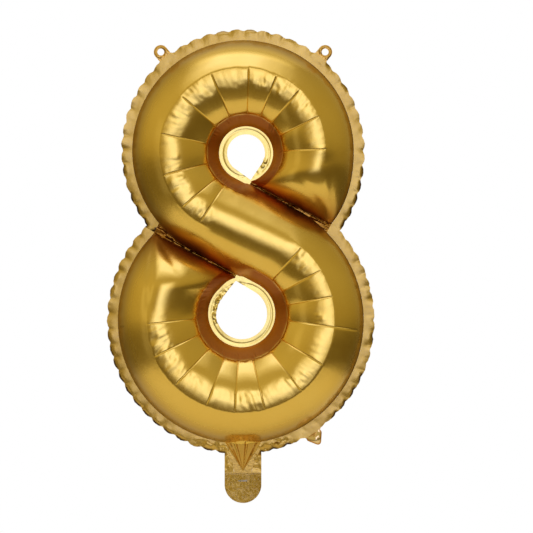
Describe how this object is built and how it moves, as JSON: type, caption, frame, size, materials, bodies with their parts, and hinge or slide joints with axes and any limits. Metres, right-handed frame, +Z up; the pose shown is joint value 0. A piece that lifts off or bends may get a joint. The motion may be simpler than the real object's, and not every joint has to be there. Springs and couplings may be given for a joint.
{
  "type": "foil number balloon",
  "caption": "Inflated gold foil balloon shaped as a figure eight, with welded rims, an open hole through each loop, hanging eyelets and a flat inflation tail.",
  "frame": {"origin": "midway between the centres of the two hanging eyelets, in the plane where the two films are welded together", "axes": "+Z up along the figure, -Y out of the front, +X to the right as seen from the front"},
  "size_m": [0.4956, 0.1726, 0.8761],
  "materials": {
    "gold_foil": "metallised film, mirror gloss",
    "welded_foil": "metallised film, puckered, satin gloss",
    "neck_foil": "metallised film, crinkled",
    "tab_foil": "metallised film, creased",
    "valve_film": "clear thin film"
  },
  "bodies": {
    "balloon": {"front_panel": "gold_foil", "back_panel": "gold_foil", "upper_rim_weld": "welded_foil", "lower_left_rim_weld": "welded_foil", "lower_right_rim_weld": "welded_foil", "upper_hole_weld": "welded_foil", "lower_hole_weld": "welded_foil", "right_waist_weld": "welded_foil", "left_waist_weld": "welded_foil", "neck_front_film": "neck_foil", "neck_back_film": "neck_foil", "valve_front_film": "valve_film", "valve_back_film": "valve_film", "valve_left_weld": "valve_film", "valve_right_weld": "valve_film"},
    "tail": {"tail_front_film": "neck_foil", "tail_back_film": "neck_foil", "tail_edge_weld": "welded_foil", "tail_valve_front_film": "valve_film", "tail_valve_back_film": "valve_film"},
    "left_tab": {"left_hanging_tab": "tab_foil"},
    "right_tab": {"right_hanging_tab": "tab_foil"},
    "bottom_tab": {"lower_tab": "tab_foil"}
  },
  "joints": [
    {"name": "tail_fold", "type": "hinge", "parent": "balloon", "child": "tail", "pos_m": [0, 0, -0.7791], "axis": [1, 0, 0], "range_deg": [-115, 115]},
    {"name": "left_tab_fold", "type": "hinge", "parent": "balloon", "child": "left_tab", "pos_m": [-0.14436, 0, -0.00923], "axis": [0.7694, 0, 0.6388], "range_deg": [-110, 110]},
    {"name": "right_tab_fold", "type": "hinge", "parent": "balloon", "child": "right_tab", "pos_m": [0.14436, 0, -0.00923], "axis": [0.7694, 0, -0.6388], "range_deg": [-110, 110]},
    {"name": "lower_tab_fold", "type": "hinge", "parent": "balloon", "child": "bottom_tab", "pos_m": [0.12952, 0, -0.70618], "axis": [0.8434, 0, 0.5373], "range_deg": [-110, 110]}
  ]
}
